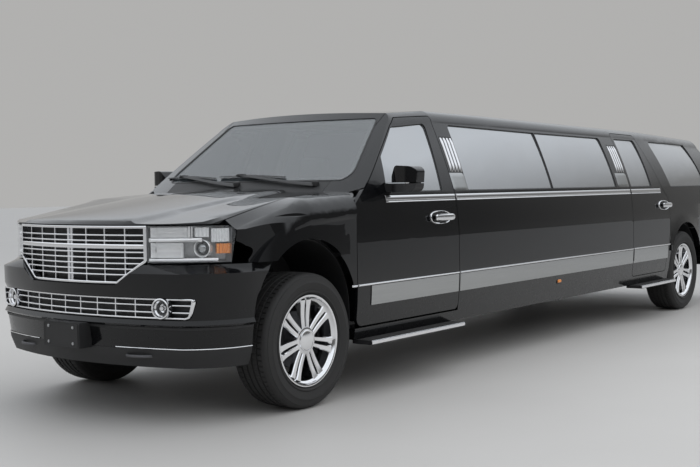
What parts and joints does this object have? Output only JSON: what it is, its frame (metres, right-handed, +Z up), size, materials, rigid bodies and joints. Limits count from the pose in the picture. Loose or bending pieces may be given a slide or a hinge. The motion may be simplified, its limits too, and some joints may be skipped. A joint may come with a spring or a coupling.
{
  "type": "stretch limousine",
  "caption": "Stretch limousine on an off-roader body: long hollow cabin with a lounge, hinged doors, hood and liftgate, steered front wheels.",
  "frame": {"origin": "centre of the footprint on the road under the tyres", "axes": "the front faces -Y, the vehicle's left is +X, +Z is up"},
  "size_m": [2.3718, 8.4058, 1.8614],
  "materials": {
    "black_paint": "deep gloss black with clear coat",
    "chrome": "bright chrome",
    "dark_glass": "privacy glass",
    "screen_glass": "clear laminated glass",
    "lamp_lens": "clear lamp lens",
    "red_lens": "red lens",
    "trim_black": "grained black",
    "frame_black": "satin black",
    "cast_metal": "rough cast",
    "bare_aluminium": "satin",
    "steel_pipe": "dull steel",
    "tyre_rubber": "matt rubber",
    "floor_carpet": "cut pile",
    "leather_black": "soft grained leather",
    "interior_plastic": "fine grain",
    "wood_gloss": "lacquered dark veneer"
  },
  "bodies": {
    "body": {"frame_rails": "frame_black", "crossmembers": "frame_black", "floor_pan": "floor_carpet", "firewall": "frame_black", "cowl": "trim_black", "roof_panel": "black_paint", "windshield_pillars": "black_paint", "stretch_sides": "black_paint", "rear_quarters": "black_paint", "rockers": "black_paint", "fenders": "black_paint", "front_bumper": "black_paint", "grille": "chrome", "lower_grille": "chrome", "front_lamps": "lamp_lens", "plate_bracket": "trim_black", "windshield": "screen_glass", "side_glass": "dark_glass", "side_trim": "chrome", "running_boards": "trim_black", "tail_lamps": "red_lens", "rear_bumper": "black_paint", "dashboard": "interior_plastic", "steering_wheel": "leather_black", "front_seats": "leather_black", "partition": "interior_plastic", "lounge_seats": "leather_black", "bar_cabinet": "wood_gloss", "engine": "cast_metal", "radiator": "bare_aluminium", "driveline": "cast_metal", "exhaust": "steel_pipe", "fuel_tank": "interior_plastic", "front_suspension": "cast_metal", "rear_suspension": "cast_metal", "wheel_liners": "trim_black", "wipers": "trim_black"},
    "front_door_left": {"front_door_left": "black_paint", "front_door_glass_left": "dark_glass", "mirror_left": "black_paint"},
    "rear_door_left": {"rear_door_left": "black_paint", "rear_door_glass_left": "dark_glass"},
    "knuckle_left": {"knuckle_left": "cast_metal"},
    "front_door_right": {"front_door_right": "black_paint", "front_door_glass_right": "dark_glass", "mirror_right": "black_paint"},
    "rear_door_right": {"rear_door_right": "black_paint", "rear_door_glass_right": "dark_glass"},
    "knuckle_right": {"knuckle_right": "cast_metal"},
    "hood": {"hood": "black_paint"},
    "liftgate": {"liftgate": "black_paint", "liftgate_glass": "dark_glass"},
    "wheel_front_left": {"wheel_front_left": "chrome", "tyre_front_left": "tyre_rubber"},
    "wheel_front_right": {"wheel_front_right": "chrome", "tyre_front_right": "tyre_rubber"},
    "wheel_rear_left": {"wheel_rear_left": "chrome", "tyre_rear_left": "tyre_rubber"},
    "wheel_rear_right": {"wheel_rear_right": "chrome", "tyre_rear_right": "tyre_rubber"}
  },
  "joints": [
    {"name": "front_door_left_hinge", "type": "hinge", "parent": "body", "child": "front_door_left", "pos_m": [1.004, -2.721, 0.8], "axis": [0, 0, -1], "range_deg": [0, 65]},
    {"name": "rear_door_left_hinge", "type": "hinge", "parent": "body", "child": "rear_door_left", "pos_m": [1.004, 1.569, 0.8], "axis": [0, 0, -1], "range_deg": [0, 70]},
    {"name": "steer_left", "type": "hinge", "parent": "body", "child": "knuckle_left", "pos_m": [0.815, -3.173, 0.4], "axis": [0, 0, 1], "range_deg": [-32, 32]},
    {"name": "front_door_right_hinge", "type": "hinge", "parent": "body", "child": "front_door_right", "pos_m": [-1.004, -2.721, 0.8], "axis": [0, 0, 1], "range_deg": [0, 65]},
    {"name": "rear_door_right_hinge", "type": "hinge", "parent": "body", "child": "rear_door_right", "pos_m": [-1.004, 1.569, 0.8], "axis": [0, 0, 1], "range_deg": [0, 70]},
    {"name": "steer_right", "type": "hinge", "parent": "body", "child": "knuckle_right", "pos_m": [-0.815, -3.173, 0.4], "axis": [0, 0, 1], "range_deg": [-32, 32]},
    {"name": "hood_hinge", "type": "hinge", "parent": "body", "child": "hood", "pos_m": [0, -2.628, 1.318], "axis": [-1, 0, 0], "range_deg": [0, 45]},
    {"name": "liftgate_hinge", "type": "hinge", "parent": "body", "child": "liftgate", "pos_m": [0, 3.748, 1.778], "axis": [1, 0, 0], "range_deg": [0, 80]},
    {"name": "wheel_front_left_spin", "type": "hinge", "parent": "knuckle_left", "child": "wheel_front_left", "pos_m": [0.851, -3.173, 0.4], "axis": [1, 0, 0], "continuous": true},
    {"name": "wheel_front_right_spin", "type": "hinge", "parent": "knuckle_right", "child": "wheel_front_right", "pos_m": [-0.851, -3.173, 0.4], "axis": [1, 0, 0], "continuous": true},
    {"name": "wheel_rear_left_spin", "type": "hinge", "parent": "body", "child": "wheel_rear_left", "pos_m": [0.851, 2.898, 0.4], "axis": [1, 0, 0], "continuous": true},
    {"name": "wheel_rear_right_spin", "type": "hinge", "parent": "body", "child": "wheel_rear_right", "pos_m": [-0.851, 2.898, 0.4], "axis": [1, 0, 0], "continuous": true}
  ],
  "couplings": [
    {"joint": "steer_right", "follows": "steer_left", "ratio": 1}
  ]
}
